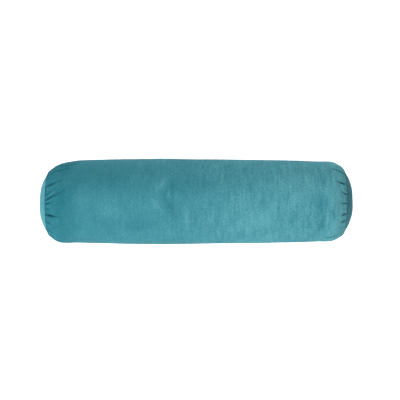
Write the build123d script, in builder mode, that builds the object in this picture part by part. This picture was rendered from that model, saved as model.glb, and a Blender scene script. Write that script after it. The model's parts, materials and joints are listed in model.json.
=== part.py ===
# Velvet bolster pillow: a gathered, zipped cover over a stuffed inner case. Millimetres.
#
# The bolster lies along X on the plane Z = 0, and the origin is under its middle. Its long axis is at
# Z = AXIS_Z. The cover is a velvet tube gathered onto a round panel at each end. Its long seam runs
# along the back, below the middle, and holds a coil zip. The inner case is a thin cloth tube with two
# end panels, stuffed with fibre.

from build123d import *

import os
from math import cos, radians, sin

os.makedirs("parts", exist_ok=True)

# Bolster: outer shape of the velvet cover
LENGTH = 800.0  # tip to tip over the domed ends
DIAMETER = 220.0  # in the middle
MIDDLE_X, MIDDLE_R = 250.0, 107.0  # where the slack middle meets the firmer haunch
SHOULDER_X, SHOULDER_R = 335.0, 103.0  # where the gathers begin to turn in
SEAM_X, SEAM_R = 377.0, 81.0  # the round seam of the end panel
FOOT_DEPTH = 3.0  # how far the underside flattens under the bolster's own weight
AXIS_Z = DIAMETER / 2 - FOOT_DEPTH

# Cloth and thread
VELVET = 1.2
TICKING = 0.5  # cloth of the inner case
THREAD = 0.4
SEAM_ALLOWANCE = 12.0
END_STITCHES = 96  # stitches in each round seam
PLY_GAP = 0.1  # air between two plies that lie on each other
LAYER_GAP = 0.2  # air between the cover and the inner case

# Zip: heights are measured out from the bolster's axis
ZIP_ANGLE = 25.0  # the zip faces back and this far below level
ZIP_FLAT = 105.5  # the stiff zip pulls the velvet flat at this height
OPENING = 500.0  # length of the gap between the two hems
OPENING_HALF = 4.4  # half of its width
FOLD_WIDTH, FOLD_RADIUS = 2.4, 1.1  # the rounded fold down each side of the opening
HEM_WIDTH = 8.2  # velvet turned under behind the fold
TAPE = 0.6
TAPE_GAP_HALF = 1.1  # half the gap between the two tapes, under the coil
TAPE_EDGE = 12.5  # outer edge of a tape from the zip's centre line
TAPE_LENGTH = 516.0
TOPSTITCHES = 124
TOPSTITCH_PITCH = 4.0
TOPSTITCH_Y = 8.0  # a row of topstitching from the centre line
COIL_HEIGHT = 1.8
COIL_OUTER = 2.1  # outer edge of a coil from the centre line
COIL_CORD = 1.25  # inner edge of the coil's solid back
COIL_REACH = 0.2  # how far a tooth reaches past the centre line
TOOTH_PITCH = 1.5
TOOTH_WIDTH = 0.6

HEM_TOP = ZIP_FLAT - VELVET - PLY_GAP
HEM_BOTTOM = HEM_TOP - VELVET
TAPE_TOP = HEM_BOTTOM - PLY_GAP
TAPE_BOTTOM = TAPE_TOP - TAPE
COIL_TOP = TAPE_TOP + COIL_HEIGHT
TOPSTITCH_DEPTH = ZIP_FLAT - TAPE_BOTTOM + THREAD / 2

# Slider and pull tab: x runs along the zip, towards the closed end
SLIDER_X = 236.0  # where the slider's centre stands when the zip is closed
SLIDER_LENGTH = 9.5
SLIDER_HALF = 4.1  # half its width at the shoulders
SLIDER_TAIL_HALF = 3.1
WING = 1.2
WING_GAP = 0.2
WEDGE_HALF = 0.8
LUG_WIDTH = 1.6
LUG_RISE = 2.3
TAB_LENGTH = 26.0  # from the hinge to the tip
TAB_WIDTH = 7.0
TAB_THICKNESS = 1.2

LOWER_WING_TOP = TAPE_BOTTOM - WING_GAP
LOWER_WING_BOTTOM = LOWER_WING_TOP - WING
UPPER_WING_BOTTOM = COIL_TOP + WING_GAP
UPPER_WING_TOP = UPPER_WING_BOTTOM + WING
HINGE_HEIGHT = UPPER_WING_TOP + 0.8
STOP_LENGTH = 2.4
STOP_WALL = 0.6  # metal of a stop under the tape
STOP_SLOT_DEPTH = 0.05  # air between a tape and the slot that grips it
TOP_STOP_X = SLIDER_X + SLIDER_LENGTH / 2 + 0.3 + STOP_LENGTH / 2
BOTTOM_STOP_X = -244.8
COIL_START = BOTTOM_STOP_X + STOP_LENGTH / 2 + 0.2
COIL_END = SLIDER_X + 4.4

# Inner case: it is pressed flat under the slider, and its domed ends pass inside the cover's seams
CASE_INSET = VELVET + LAYER_GAP
CASE_FLAT = LOWER_WING_BOTTOM - 0.3
CASE_SEAM_X = 362.0
CASE_SEAM_R = 78.0
CASE_LAP = 10.0  # how far the end panel laps under the gathered tube
FILL_INSET = CASE_INSET + TICKING + PLY_GAP

LONG_AXIS = Axis((0, 0, AXIS_Z), (1, 0, 0))
SECTION_PLANE = Plane((0, 0, AXIS_Z), x_dir=(1, 0, 0), z_dir=(0, -1, 0))
END_PLANE = Plane((0, 0, AXIS_Z), x_dir=(0, 1, 0), z_dir=(1, 0, 0))
ZIP_NORMAL = (0, cos(radians(ZIP_ANGLE)), -sin(radians(ZIP_ANGLE)))
ZIP_PLANE = Plane((0, 0, AXIS_Z), x_dir=(-1, 0, 0), z_dir=ZIP_NORMAL)
ZIP_OUTWARD = Axis(ZIP_PLANE.origin, ZIP_NORMAL)
STITCH_PLANE = Plane(ZIP_PLANE.origin, x_dir=ZIP_PLANE.x_dir, z_dir=-ZIP_PLANE.y_dir)
ACROSS_PLANE = Plane(ZIP_PLANE.origin, x_dir=ZIP_PLANE.y_dir, z_dir=ZIP_PLANE.x_dir)

# The tube's outline, from the slack middle over the haunch and the gathered shoulder to the seam
with BuildLine(mode=Mode.PRIVATE):
    middle = ThreePointArc((-MIDDLE_X, MIDDLE_R), (0, DIAMETER / 2), (MIDDLE_X, MIDDLE_R))
    haunch = TangentArc(middle @ 1, (SHOULDER_X, SHOULDER_R), tangent=middle % 1)
    shoulder = TangentArc(haunch @ 1, (SEAM_X, SEAM_R), tangent=haunch % 1)


def tube_section(inset):
    """Half section of the stuffed tube, with its surface moved in by inset."""

    def inner(arc):
        """The end of the arc, moved in square to it."""
        tangent = arc % 1
        return arc @ 1 + inset * Vector(tangent.Y, -tangent.X)

    with BuildSketch() as section:
        with BuildLine():
            start = inner(middle)
            waist = ThreePointArc((-start.X, start.Y), (0, DIAMETER / 2 - inset), (start.X, start.Y))
            flank = TangentArc(waist @ 1, inner(haunch), tangent=haunch % 0)
            curve = TangentArc(flank @ 1, inner(shoulder), tangent=shoulder % 0)
            mirror(flank, about=Plane.YZ)
            mirror(curve, about=Plane.YZ)
            end = curve @ 1
            Polyline((end.X, end.Y), (end.X, 0), (-end.X, 0), (-end.X, end.Y))
        make_face()
    return section.sketch


def stuffed_tube(inset, zip_flat, reach=SEAM_X):
    """Closed solid of the tube out to reach at both ends, flattened at the foot and along the zip."""
    with BuildPart() as tube:
        with BuildSketch(SECTION_PLANE):
            add(tube_section(inset))
            Rectangle(2 * reach, DIAMETER, mode=Mode.INTERSECT)
        revolve(axis=LONG_AXIS)
        split(bisect_by=Plane.XY.offset(inset), keep=Keep.TOP)
        split(bisect_by=ZIP_PLANE.offset(zip_flat), keep=Keep.BOTTOM)
    return tube.part


def lockstitches(count, pitch, hole, depth):
    """Side view of a row of stitches, as two lines of (along, height): over and under the thread.

    The thread lies on the cloth for most of each stitch, and at the hole it goes down by depth.
    """
    over = []
    under = []
    for stitch in range(count):
        start = stitch * pitch
        end = start + pitch
        over += [(start, THREAD), (end - hole, THREAD), (end - hole, THREAD / 3), (end, THREAD / 3)]
        under += [(start, 0), (end - hole, 0), (end - hole, -depth), (end, -depth)]
    return over, under


def around(line, radius):
    """The (angle, height) points of a line, laid round a circle."""
    return [
        ((radius + height) * cos(radians(angle)), (radius + height) * sin(radians(angle)))
        for angle, height in line
    ]


def zigzag(count, pitch, swing):
    """Points of a zigzag line, as (along, across)."""
    return [(step * pitch / 2, swing * (-1) ** step) for step in range(2 * count)]


def staple(width, depth):
    """A stitch in section: a bar of thread along x, with a leg at each end down through the cloth."""
    with BuildSketch() as stitch:
        with BuildLine():
            Polyline(
                (-width / 2, 0),
                (width / 2, 0),
                (width / 2, -depth),
                (width / 2 - THREAD, -depth),
                (width / 2 - THREAD, -THREAD),
                (THREAD - width / 2, -THREAD),
                (THREAD - width / 2, -depth),
                (-width / 2, -depth),
                close=True,
            )
        make_face()
    return stitch.sketch


def slider_outline(front_half, tail_half, shoulder_x, waist_x):
    """Shield outline about the slider's centre, wide at the front and narrow at the tail."""
    nose = SLIDER_LENGTH / 2
    with BuildSketch() as outline:
        with BuildLine():
            Polyline(
                (-nose, 0),
                (-nose, tail_half),
                (waist_x, tail_half),
                (shoulder_x, front_half),
                (nose, front_half),
                (nose, 0),
            )
            mirror(about=Plane.XZ)
        make_face()
    return outline.sketch


def coil_outline(side):
    """One half of the chain: a solid back with teeth, which part around the wedge in the slider."""
    phase = 0.0 if side > 0 else TOOTH_PITCH / 2
    tooth_count = int((COIL_END - COIL_START - phase) / TOOTH_PITCH)

    def parted(x):
        """How far the halves have moved apart at x, inside the closed slider."""
        return min(max(0.7 * (x - SLIDER_X + 0.2), 0.0), WEDGE_HALF + COIL_REACH + 0.05)

    inner = [(COIL_START, COIL_CORD)]
    for tooth in range(tooth_count):
        start = COIL_START + phase + tooth * TOOTH_PITCH
        end = start + TOOTH_WIDTH
        inner += [(start, COIL_CORD), (start, -COIL_REACH), (end, -COIL_REACH), (end, COIL_CORD)]
    inner = list(dict.fromkeys(inner))
    inner.append((COIL_END, COIL_CORD))
    outer = [
        (COIL_END, COIL_OUTER),
        (SLIDER_X + 1.3, COIL_OUTER),
        (SLIDER_X - 0.2, COIL_OUTER),
        (COIL_START, COIL_OUTER),
    ]
    return [(x, side * (y + parted(x))) for x, y in inner + outer]


# ---- Cover ---------------------------------------------------------------------------------------

with BuildPart() as cover_body:
    add(stuffed_tube(0, ZIP_FLAT))
    add(stuffed_tube(VELVET, ZIP_FLAT - VELVET), mode=Mode.SUBTRACT)
    # the end openings, and the seam allowances that turn in around them
    for side in (-1, 1):
        with BuildSketch(END_PLANE.offset(side * SEAM_X)):
            Circle(SEAM_R - VELVET)
        extrude(amount=-side * SEAM_ALLOWANCE, mode=Mode.SUBTRACT)
        with BuildSketch(END_PLANE.offset(side * SEAM_X)):
            Circle(SEAM_R)
            Circle(SEAM_R - VELVET, mode=Mode.SUBTRACT)
        extrude(amount=-side * SEAM_ALLOWANCE)
    # the closed long seam, from the zip's ends out to the end seams
    with BuildSketch(ZIP_PLANE.offset(SEAM_R - 2 * VELVET)):
        with GridLocations(OPENING / 2 + SEAM_X, 0, 2, 1):
            Rectangle(SEAM_X - OPENING / 2 + 1, 2 * PLY_GAP)
    extrude(amount=DIAMETER / 2 - SEAM_R + 2 * VELVET, mode=Mode.SUBTRACT)
    # the zip opening, with a rounded fold down each side and the hem turned under behind it
    fold_height = ZIP_FLAT - HEM_BOTTOM
    with BuildSketch(ZIP_PLANE.offset(HEM_BOTTOM)):
        Rectangle(OPENING, 2 * (OPENING_HALF + FOLD_WIDTH))
    extrude(amount=fold_height, mode=Mode.SUBTRACT)
    with BuildSketch(ACROSS_PLANE):
        with Locations((OPENING_HALF + FOLD_WIDTH / 2, HEM_BOTTOM + fold_height / 2)):
            Rectangle(FOLD_WIDTH, fold_height)
        fillet(vertices().group_by(Axis.X)[0], radius=FOLD_RADIUS)
        mirror(about=Plane.YZ)
    extrude(amount=OPENING / 2, both=True)
    with BuildSketch(ZIP_PLANE.offset(HEM_BOTTOM)):
        with GridLocations(0, 2 * (OPENING_HALF + FOLD_WIDTH) + HEM_WIDTH, 1, 2):
            Rectangle(OPENING, HEM_WIDTH)
    extrude(amount=VELVET)

with BuildPart() as cover_end_right:
    panel_r = SEAM_R - VELVET - LAYER_GAP
    with BuildSketch(SECTION_PLANE):
        with BuildLine():
            TangentArc((LENGTH / 2, 0), (SEAM_X, panel_r), tangent=(0, 1))
            Polyline(
                (SEAM_X, panel_r),
                (SEAM_X - SEAM_ALLOWANCE, panel_r),
                (SEAM_X - SEAM_ALLOWANCE, panel_r - VELVET),
                (SEAM_X - VELVET / 2, panel_r - VELVET),
            )
            TangentArc((LENGTH / 2 - VELVET, 0), (SEAM_X - VELVET / 2, panel_r - VELVET), tangent=(0, 1))
            Line((LENGTH / 2 - VELVET, 0), (LENGTH / 2, 0))
        make_face()
    revolve(axis=LONG_AXIS)

with BuildPart() as cover_end_left:
    mirror(cover_end_right.part, about=Plane.YZ)

# Each end seam: needle thread round the outside of both seam allowances, bobbin thread inside them
with BuildPart() as cover_end_stitches_right:
    bobbin_r = panel_r - VELVET
    seam_pitch = 360 / END_STITCHES
    over, under = lockstitches(END_STITCHES, seam_pitch, seam_pitch / 10, SEAM_R - bobbin_r + THREAD / 2)
    with BuildSketch(END_PLANE.offset(SEAM_X - SEAM_ALLOWANCE / 2)):
        Polygon(around(over, SEAM_R), align=None)
        Polygon(around(under, SEAM_R), align=None, mode=Mode.SUBTRACT)
        Circle(bobbin_r)
        Circle(bobbin_r - THREAD, mode=Mode.SUBTRACT)
    extrude(amount=THREAD / 2, both=True)

with BuildPart() as cover_end_stitches_left:
    mirror(cover_end_stitches_right.part, about=Plane.YZ)

# Two rows of gathering thread lie round the tube's seam allowance
with BuildPart() as gathering_threads_right:
    thread_r = SEAM_R + 0.05 + THREAD / 2
    with BuildSketch(SECTION_PLANE):
        with Locations((SEAM_X - 3, thread_r), (SEAM_X - 9, thread_r)):
            Circle(THREAD / 2)
    revolve(axis=LONG_AXIS)

with BuildPart() as gathering_threads_left:
    mirror(gathering_threads_right.part, about=Plane.YZ)

# Ladder of thread that closes the long seam between the zip and each end
with BuildPart(ZIP_PLANE) as long_seam_stitches_right:
    seam_points = [haunch @ (0.06 + 0.06 * step) for step in range(16)]
    seam_points += [shoulder @ (0.05 + 0.075 * step) for step in range(12)]
    with Locations(*[(-p.X, 0, min(ZIP_FLAT, p.Y) - VELVET / 2) for p in seam_points]):
        Box(THREAD, 3.6, THREAD)

with BuildPart() as long_seam_stitches_left:
    mirror(long_seam_stitches_right.part, about=Plane.YZ)

# ---- Zip -----------------------------------------------------------------------------------------

zip_tapes = {}
zip_coils = {}
zip_topstitches = {}
for side, half in ((1, "upper"), (-1, "lower")):
    with BuildPart() as zip_tape:
        with BuildSketch(ZIP_PLANE.offset(TAPE_BOTTOM)):
            with Locations((0, side * (TAPE_GAP_HALF + TAPE_EDGE) / 2)):
                Rectangle(TAPE_LENGTH, TAPE_EDGE - TAPE_GAP_HALF)
        extrude(amount=TAPE)
    zip_tapes[half] = zip_tape

    with BuildPart() as zip_coil:
        with BuildSketch(ZIP_PLANE.offset(TAPE_TOP + 0.05)):
            with BuildLine():
                Polyline(coil_outline(side), close=True)
            make_face()
        extrude(amount=COIL_HEIGHT - 0.05)
    zip_coils[half] = zip_coil

    # needle thread through the velvet, the hem and the tape, and bobbin thread under the tape
    with BuildPart() as zip_topstitch:
        over, under = lockstitches(TOPSTITCHES, TOPSTITCH_PITCH, THREAD, TOPSTITCH_DEPTH)
        with BuildSketch(STITCH_PLANE.offset(-side * TOPSTITCH_Y)):
            with Locations((-TOPSTITCHES * TOPSTITCH_PITCH / 2, ZIP_FLAT)):
                Polygon(over + under[::-1], align=None)
            with Locations((0, TAPE_BOTTOM - THREAD / 2)):
                Rectangle(TOPSTITCHES * TOPSTITCH_PITCH, THREAD)
        extrude(amount=THREAD / 2, both=True)
    zip_topstitches[half] = zip_topstitch

# A bar tack across each end of the opening: five long staples side by side
with BuildPart() as zip_bar_tacks:
    for tack_x in (-OPENING / 2 - 1.5, OPENING / 2 + 1.5):
        for step in range(-2, 3):
            with BuildSketch(ACROSS_PLANE.offset(tack_x + 0.5 * step)):
                with Locations((0, ZIP_FLAT + THREAD)):
                    add(staple(12, TOPSTITCH_DEPTH + THREAD))
            extrude(amount=THREAD / 2, both=True)

# The stops are clips that grip the tapes' inner edges
clip_bottom = TAPE_BOTTOM - STOP_WALL
clip_height = COIL_TOP + 0.2 - clip_bottom
slot_bottom = TAPE_BOTTOM - STOP_SLOT_DEPTH
slot_height = TAPE + 2 * STOP_SLOT_DEPTH
slot_width = 3.0
slot_spacing = 2 * (TAPE_GAP_HALF - STOP_SLOT_DEPTH) + slot_width

with BuildPart() as zip_top_stops:
    with BuildSketch(ZIP_PLANE.offset(clip_bottom)):
        with Locations((TOP_STOP_X, 0)):
            with GridLocations(0, 3.7, 1, 2):
                Rectangle(STOP_LENGTH, 2.6)
    extrude(amount=clip_height)
    with BuildSketch(ZIP_PLANE.offset(slot_bottom)):
        with Locations((TOP_STOP_X, 0)):
            with GridLocations(0, slot_spacing, 1, 2):
                Rectangle(STOP_LENGTH + 1, slot_width)
    extrude(amount=slot_height, mode=Mode.SUBTRACT)
    fillet(zip_top_stops.edges().filter_by(Axis.X).group_by(ZIP_OUTWARD)[-1], radius=0.4)

with BuildPart() as zip_bottom_stop:
    with BuildSketch(ZIP_PLANE.offset(clip_bottom)):
        with Locations((BOTTOM_STOP_X, 0)):
            Rectangle(STOP_LENGTH, 5.6)
    extrude(amount=clip_height)
    with BuildSketch(ZIP_PLANE.offset(slot_bottom)):
        with Locations((BOTTOM_STOP_X, 0)):
            with GridLocations(0, slot_spacing, 1, 2):
                Rectangle(STOP_LENGTH + 1, slot_width)
    extrude(amount=slot_height, mode=Mode.SUBTRACT)
    fillet(zip_bottom_stop.edges().filter_by(Axis.X).group_by(ZIP_OUTWARD)[-1], radius=0.6)

with BuildPart() as zip_slider:
    # both wings share the shield outline
    for wing_bottom in (LOWER_WING_BOTTOM, UPPER_WING_BOTTOM):
        with BuildSketch(ZIP_PLANE.offset(wing_bottom)):
            with Locations((SLIDER_X, 0)):
                add(slider_outline(SLIDER_HALF, SLIDER_TAIL_HALF, 1.5, -4))
        extrude(amount=WING)
    # lips hang from the upper wing, over the tapes, and guide the coils
    with BuildSketch(ZIP_PLANE.offset(TAPE_TOP + WING_GAP)):
        with Locations((SLIDER_X, 0)):
            add(slider_outline(SLIDER_HALF, SLIDER_TAIL_HALF, 1.5, -4))
            add(slider_outline(SLIDER_HALF - 0.8, COIL_OUTER + 0.25, 0.8, -0.6), mode=Mode.SUBTRACT)
    extrude(amount=UPPER_WING_BOTTOM - TAPE_TOP - WING_GAP)
    # the wedge joins the wings and parts the coils
    with BuildSketch(ZIP_PLANE.offset(LOWER_WING_TOP)):
        with Locations((SLIDER_X, 0)):
            Polygon(
                (0.5, 0),
                (2.0, WEDGE_HALF),
                (4.4, WEDGE_HALF),
                (4.4, -WEDGE_HALF),
                (2.0, -WEDGE_HALF),
                align=None,
            )
    extrude(amount=UPPER_WING_BOTTOM - LOWER_WING_TOP)
    # the lug is an arch over the pull tab's crossbar
    with BuildSketch(STITCH_PLANE):
        with Locations((SLIDER_X, UPPER_WING_TOP)):
            Ellipse(3.4, LUG_RISE)
            Ellipse(2.4, LUG_RISE - 0.75, mode=Mode.SUBTRACT)
        with Locations((SLIDER_X, UPPER_WING_TOP - LUG_RISE)):
            Rectangle(8, 2 * LUG_RISE, mode=Mode.SUBTRACT)
    extrude(amount=LUG_WIDTH / 2, both=True)

with BuildPart() as zip_pull_tab:
    # the tab lies back along the closed chain
    with BuildSketch(ZIP_PLANE.offset(HINGE_HEIGHT - TAB_THICKNESS / 2)):
        with Locations((SLIDER_X - TAB_LENGTH / 2, 0)):
            RectangleRounded(TAB_LENGTH, TAB_WIDTH, 3.0)
        with Locations((SLIDER_X - 2.3, 0)):
            Rectangle(4.6, 3.0, mode=Mode.SUBTRACT)
        with Locations((SLIDER_X - 1.0, 0)):
            Rectangle(2.0, TAB_WIDTH, mode=Mode.SUBTRACT)
        with Locations((SLIDER_X - 1.5, 2.1), (SLIDER_X - 1.5, -2.1)):
            Rectangle(3.0, 1.2)
        with Locations((SLIDER_X - TAB_LENGTH + 5.5, 0)):
            SlotOverall(5.0, 2.6, mode=Mode.SUBTRACT)
    extrude(amount=TAB_THICKNESS)
    # the crossbar turns inside the lug
    with BuildSketch(STITCH_PLANE):
        with Locations((SLIDER_X, HINGE_HEIGHT)):
            Circle(TAB_THICKNESS / 2 - 0.1)
    extrude(amount=2.7, both=True)

# ---- Label ---------------------------------------------------------------------------------------

# A blank folded label hangs inside the cover from the lower row of topstitching
with BuildPart() as care_label:
    with BuildSketch(ACROSS_PLANE.offset(-200)):
        with Locations((-18.5, TAPE_BOTTOM - 0.325)):
            RectangleRounded(23.5, 0.45, 0.2)
            Rectangle(24.5, 0.05, align=(Align.MIN, Align.CENTER), mode=Mode.SUBTRACT)
    extrude(amount=15, both=True)

# ---- Inner case and filling ----------------------------------------------------------------------

with BuildPart() as case_body:
    add(stuffed_tube(CASE_INSET, CASE_FLAT, CASE_SEAM_X))
    add(
        stuffed_tube(CASE_INSET + TICKING, CASE_FLAT - TICKING, CASE_SEAM_X - TICKING),
        mode=Mode.SUBTRACT,
    )
    with BuildSketch(END_PLANE):
        Circle(CASE_SEAM_R)
    extrude(amount=CASE_SEAM_X, both=True, mode=Mode.SUBTRACT)
    # the slit in the long seam through which the case is stuffed
    with BuildSketch(ZIP_PLANE.offset(CASE_FLAT - TICKING)):
        Rectangle(600, 2 * PLY_GAP)
    extrude(amount=TICKING, mode=Mode.SUBTRACT)

with BuildPart() as case_end_right:
    dome_r = CASE_SEAM_R - LAYER_GAP
    dome_tip = LENGTH / 2 - CASE_INSET - LAYER_GAP
    rim_x = CASE_SEAM_X - TICKING - PLY_GAP
    with BuildSketch(SECTION_PLANE):
        with BuildLine():
            TangentArc((dome_tip, 0), (rim_x, dome_r), tangent=(0, 1))
            Polyline(
                (rim_x, dome_r),
                (rim_x, dome_r + CASE_LAP),
                (rim_x - TICKING, dome_r + CASE_LAP),
                (rim_x - TICKING, dome_r - TICKING),
            )
            TangentArc((dome_tip - TICKING, 0), (rim_x - TICKING, dome_r - TICKING), tangent=(0, 1))
            Line((dome_tip - TICKING, 0), (dome_tip, 0))
        make_face()
    revolve(axis=LONG_AXIS)

with BuildPart() as case_end_left:
    mirror(case_end_right.part, about=Plane.YZ)

# The lapped seam's stitches: a zigzag through both plies
with BuildPart() as case_end_stitches_right:
    lap_depth = 2 * TICKING + PLY_GAP
    lap_zigzag = zigzag(END_STITCHES, seam_pitch, 2.0)
    with BuildSketch(END_PLANE.offset(CASE_SEAM_X + 0.05)):
        Polygon(around(lap_zigzag, CASE_SEAM_R + CASE_LAP / 2 + THREAD), align=None)
        Polygon(around(lap_zigzag, CASE_SEAM_R + CASE_LAP / 2 - THREAD), align=None, mode=Mode.SUBTRACT)
    extrude(amount=-lap_depth)

with BuildPart() as case_end_stitches_left:
    mirror(case_end_stitches_right.part, about=Plane.YZ)

# Overcast stitches that close the slit
with BuildPart() as case_closing_stitches:
    closing_zigzag = zigzag(120, 5.0, 2.5)
    upper_edge = [(along, across + THREAD) for along, across in closing_zigzag]
    lower_edge = [(along, across - THREAD) for along, across in closing_zigzag]
    with BuildSketch(ZIP_PLANE.offset(CASE_FLAT - TICKING)):
        with Locations((-closing_zigzag[-1][0] / 2, 0)):
            Polygon(upper_edge + lower_edge[::-1], align=None)
    extrude(amount=TICKING)

with BuildPart() as fibre_fill:
    fill_end = CASE_SEAM_X - 2 * TICKING - 2 * PLY_GAP
    add(stuffed_tube(FILL_INSET, CASE_FLAT - TICKING - PLY_GAP, fill_end))
    fill_tip = dome_tip - TICKING - PLY_GAP
    with BuildSketch(SECTION_PLANE):
        with BuildLine():
            TangentArc((fill_tip, 0), (fill_end, dome_r - TICKING - PLY_GAP), tangent=(0, 1))
            Polyline(
                (fill_end, dome_r - TICKING - PLY_GAP),
                (fill_end - 20, dome_r - TICKING - PLY_GAP),
                (fill_end - 20, 0),
                (fill_tip, 0),
            )
        make_face()
        mirror(about=Plane.YZ)
    revolve(axis=LONG_AXIS)

# ---- Files ---------------------------------------------------------------------------------------

pieces = {
    "cover_body": cover_body,
    "cover_end_left": cover_end_left,
    "cover_end_right": cover_end_right,
    "cover_end_stitches_left": cover_end_stitches_left,
    "cover_end_stitches_right": cover_end_stitches_right,
    "gathering_threads_left": gathering_threads_left,
    "gathering_threads_right": gathering_threads_right,
    "long_seam_stitches_left": long_seam_stitches_left,
    "long_seam_stitches_right": long_seam_stitches_right,
    "zip_tape_upper": zip_tapes["upper"],
    "zip_tape_lower": zip_tapes["lower"],
    "zip_coil_upper": zip_coils["upper"],
    "zip_coil_lower": zip_coils["lower"],
    "zip_topstitch_upper": zip_topstitches["upper"],
    "zip_topstitch_lower": zip_topstitches["lower"],
    "zip_bar_tacks": zip_bar_tacks,
    "zip_top_stops": zip_top_stops,
    "zip_bottom_stop": zip_bottom_stop,
    "zip_slider": zip_slider,
    "zip_pull_tab": zip_pull_tab,
    "care_label": care_label,
    "case_body": case_body,
    "case_end_left": case_end_left,
    "case_end_right": case_end_right,
    "case_end_stitches_left": case_end_stitches_left,
    "case_end_stitches_right": case_end_stitches_right,
    "case_closing_stitches": case_closing_stitches,
    "fibre_fill": fibre_fill,
}
for name, piece in pieces.items():
    piece.part.label = name
    export_step(piece.part, f"parts/{name}.step")
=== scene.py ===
"""Velvet bolster pillow: the looks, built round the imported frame. Metres.

The bolster lies along X. Positions round it are angles from the zip's centre line, turning up over the
top. Every soft piece carries a "cloth" attribute: where each point lies on the flat cloth, in metres.
"""

import json
import math

import bpy
import numpy as np
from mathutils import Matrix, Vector


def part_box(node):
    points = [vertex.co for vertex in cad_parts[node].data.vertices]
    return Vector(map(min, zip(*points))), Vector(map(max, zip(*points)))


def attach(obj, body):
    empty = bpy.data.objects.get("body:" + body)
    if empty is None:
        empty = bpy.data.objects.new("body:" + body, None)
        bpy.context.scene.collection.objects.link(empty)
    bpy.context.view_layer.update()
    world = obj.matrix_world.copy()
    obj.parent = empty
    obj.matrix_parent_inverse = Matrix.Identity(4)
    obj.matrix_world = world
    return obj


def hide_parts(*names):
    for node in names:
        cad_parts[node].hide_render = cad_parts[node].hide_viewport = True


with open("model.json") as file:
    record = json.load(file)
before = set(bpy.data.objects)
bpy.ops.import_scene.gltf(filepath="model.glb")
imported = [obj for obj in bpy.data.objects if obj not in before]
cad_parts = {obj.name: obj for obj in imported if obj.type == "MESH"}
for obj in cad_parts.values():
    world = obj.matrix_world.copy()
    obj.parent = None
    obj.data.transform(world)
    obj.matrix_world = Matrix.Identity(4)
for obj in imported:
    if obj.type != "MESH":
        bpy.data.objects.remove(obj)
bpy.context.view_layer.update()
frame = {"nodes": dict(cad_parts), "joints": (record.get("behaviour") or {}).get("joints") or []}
random = np.random.default_rng(11)

# ---- Sizes, from the frame ----

tube_low, tube_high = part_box("cover_body")
panel_low, panel_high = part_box("cover_end_right")
RADIUS = (tube_high.y - tube_low.y) / 2
AXIS_Z = tube_high.z - RADIUS
SEAM_X = tube_high.x
TIP_X = panel_high.x
PANEL_R = panel_high.y
AXIS = np.array([0.0, 0.0, AXIS_Z])

VELVET = 0.0012
FOLD = 0.00125  # outer radius of the velvet where it turns under
ALLOWANCE = panel_high.x - panel_low.x - (TIP_X - SEAM_X)
# Steps along the straight part of a turned-in seam allowance
LAP_STEPS = np.linspace(0, 1, 6)[1:, None] * np.array([0.002 - ALLOWANCE, 0])
THREAD_R = 0.0002
SEAM_STITCHES = 96  # stitches round each end seam
# Places on the outline: along the bolster, and out from its axis
HAUNCH = np.array([0.250, 0.107])
SHOULDER = np.array([0.335, 0.103])

hinge = next(j for j in frame["joints"] if j["name"] == "pull_tab_hinge")
slide = next(j for j in frame["joints"] if j["name"] == "slider_slide")
ZIP_UP = np.array(hinge["axis"])  # across the zip, towards the top of the bolster
ZIP_OUT = np.array([0.0, ZIP_UP[2], -ZIP_UP[1]])
ALONG_X = np.array([1.0, 0.0, 0.0])


def along(node, direction):
    """Lowest and highest place of a CAD node along a direction, from the bolster's axis."""
    mesh = frame["nodes"][node].data
    co = np.zeros(len(mesh.vertices) * 3)
    mesh.vertices.foreach_get("co", co)
    places = (co.reshape(-1, 3) - AXIS) @ direction
    return places.min(), places.max()


def smoothstep(low, high, value):
    share = np.clip((value - low) / (high - low), 0.0, 1.0)
    return share * share * (3 - 2 * share)


def zip_point(x, up, out):
    """A place given along the bolster, across the zip and out from the axis."""
    x, up, out = (value[..., None] for value in np.broadcast_arrays(x, up, out))
    return x * ALONG_X + up * ZIP_UP + out * ZIP_OUT + AXIS


def around_axis(x, radius, angle):
    """Points at a place along the bolster, a radius and an angle, and their outward directions."""
    x, radius, angle = (value[..., None] for value in np.broadcast_arrays(x, radius, angle))
    outward = np.cos(angle) * ZIP_OUT + np.sin(angle) * ZIP_UP
    return x * ALONG_X + radius * outward + AXIS, outward


def wrapped(angle):
    """The same angle between minus and plus half a turn."""
    return np.angle(np.exp(1j * angle))


def round_steps(count):
    """Evenly spaced angles once round."""
    return np.linspace(0, 2 * math.pi, count, endpoint=False)


def circle(angle):
    return np.stack([np.cos(angle), np.sin(angle)], 1)


def run_length(points):
    """Distance of each point along its path."""
    steps = np.linalg.norm(np.diff(points, axis=0), axis=1)
    return np.concatenate([[0.0], np.cumsum(steps)])


def tilted(normal_x, normal_r, direction):
    """Normals of a surface from those of its outline."""
    return normal_x[:, None, None] * ALONG_X + normal_r[:, None, None] * direction


def on_cloth(length, around):
    """Places on the flat cloth."""
    length, around = np.broadcast_arrays(length, around)
    return np.stack([length, around, np.zeros_like(around)], -1)


# ---- Outlines ----

SLIM = 0.0022  # how much slimmer the right half is
SEAM_POINT = np.array([SEAM_X - 0.0005, PANEL_R + VELVET + 0.0008])


def arc_points(start, heading, end, count):
    """Points and headings of the arc that leaves start along heading and curves right to meet end."""
    chord = end - start
    right = np.array([heading[1], -heading[0]])
    radius = chord @ chord / (2 * right @ chord)
    centre = start + radius * right
    first = math.atan2(*(start - centre)[::-1])
    last = math.atan2(*(end - centre)[::-1])
    angle = np.linspace(first, last, count)
    return centre + radius * circle(angle), angle


def turn_points(start, angle, radius, last, count):
    """Points and normals' angles of a small turn at the end of an outline, curving right."""
    centre = start - radius * np.array([math.cos(angle), math.sin(angle)])
    angle = np.linspace(angle, last, count)
    return centre + radius * circle(angle), angle


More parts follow.
